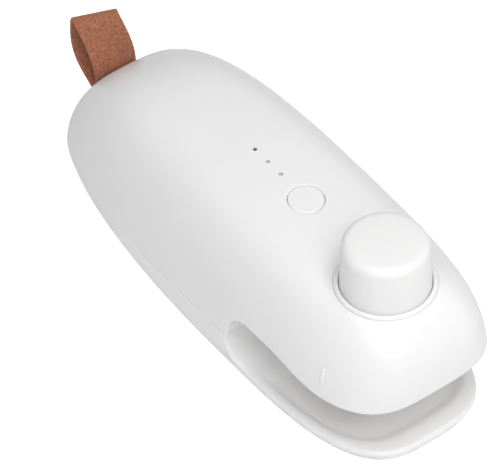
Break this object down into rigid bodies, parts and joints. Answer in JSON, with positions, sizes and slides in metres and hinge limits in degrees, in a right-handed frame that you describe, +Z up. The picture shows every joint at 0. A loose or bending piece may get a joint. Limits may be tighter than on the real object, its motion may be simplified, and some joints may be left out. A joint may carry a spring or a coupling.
{
  "type": "handheld bag heat sealer",
  "caption": "Handheld bag sealer with a rounded two-shell casing, an open throat, a sprung press knob, a power button, indicator lights and a leather wrist loop.",
  "frame": {"origin": "middle of the casing's footprint, on the table plane", "axes": "+X to the jaws and press knob, +Y to the side with the charging socket, +Z up"},
  "size_m": [0.1546, 0.057, 0.061],
  "materials": {
    "shell": "semi-gloss moulded plastic",
    "base_shell": "semi-gloss moulded plastic",
    "knob": "satin moulded plastic",
    "inner_plastic": "matt moulded plastic",
    "dark_plastic": "matt black plastic",
    "steel": "bright",
    "spring_steel": "drawn wire",
    "element": "dull",
    "ptfe": "woven glass cloth with a smooth coating",
    "silicone": "matt silicone",
    "rubber": "matt",
    "clear": "clear acrylic",
    "led": "translucent resin",
    "board": "solder mask",
    "cell_wrap": "shrink wrap",
    "wire": "insulated wire",
    "leather": "brown felted leather"
  },
  "bodies": {
    "casing": {"upper_shell": "shell", "lower_shell": "base_shell", "jaw_plate": "inner_plastic", "knob_collar": "shell", "plunger_guide": "inner_plastic", "return_spring": "spring_steel", "pad_holder": "inner_plastic", "silicone_pad": "silicone", "tact_switch": "dark_plastic", "light_pipe": "clear", "indicator_leds": "led", "main_board": "board", "board_chips": "dark_plastic", "charge_board": "board", "charge_socket": "steel", "battery_cell": "cell_wrap", "battery_tray": "inner_plastic", "cell_tabs": "steel", "battery_wires": "wire", "case_screws": "steel", "jaw_screws": "steel", "guide_screws": "steel", "board_screws": "steel", "base_pad": "rubber", "strap_pin": "steel"},
    "press": {"press_knob": "knob", "plunger_stem": "steel", "stem_clip": "spring_steel", "heater_carrier": "dark_plastic", "heating_element": "element", "ptfe_cover": "ptfe"},
    "power_key": {"power_button": "shell"},
    "switch_key": {"switch_plunger": "dark_plastic"},
    "strap": {"wrist_strap": "leather"}
  },
  "joints": [
    {"name": "knob_press", "type": "slide", "parent": "casing", "child": "press", "axis": [0, 0, -1], "range_m": [0, 0.01], "stiffness_N_per_m": 300, "springref_m": -0.004, "deforming": ["return_spring"]},
    {"name": "button_press", "type": "slide", "parent": "casing", "child": "power_key", "axis": [0, 0, -1], "range_m": [0, 0.0005], "stiffness_N_per_m": 40, "springref_m": -0.001},
    {"name": "switch_press", "type": "slide", "parent": "casing", "child": "switch_key", "axis": [0, 0, -1], "range_m": [0, 0.0005], "stiffness_N_per_m": 4, "springref_m": -0.0005},
    {"name": "strap_swing", "type": "hinge", "parent": "casing", "child": "strap", "pos_m": [-0.069, 0, 0.014], "axis": [0, -1, 0], "range_deg": [-3, 70], "stiffness_Nm_per_rad": 0.01}
  ],
  "couplings": [
    {"joint": "switch_press", "follows": "button_press", "ratio": 1}
  ]
}
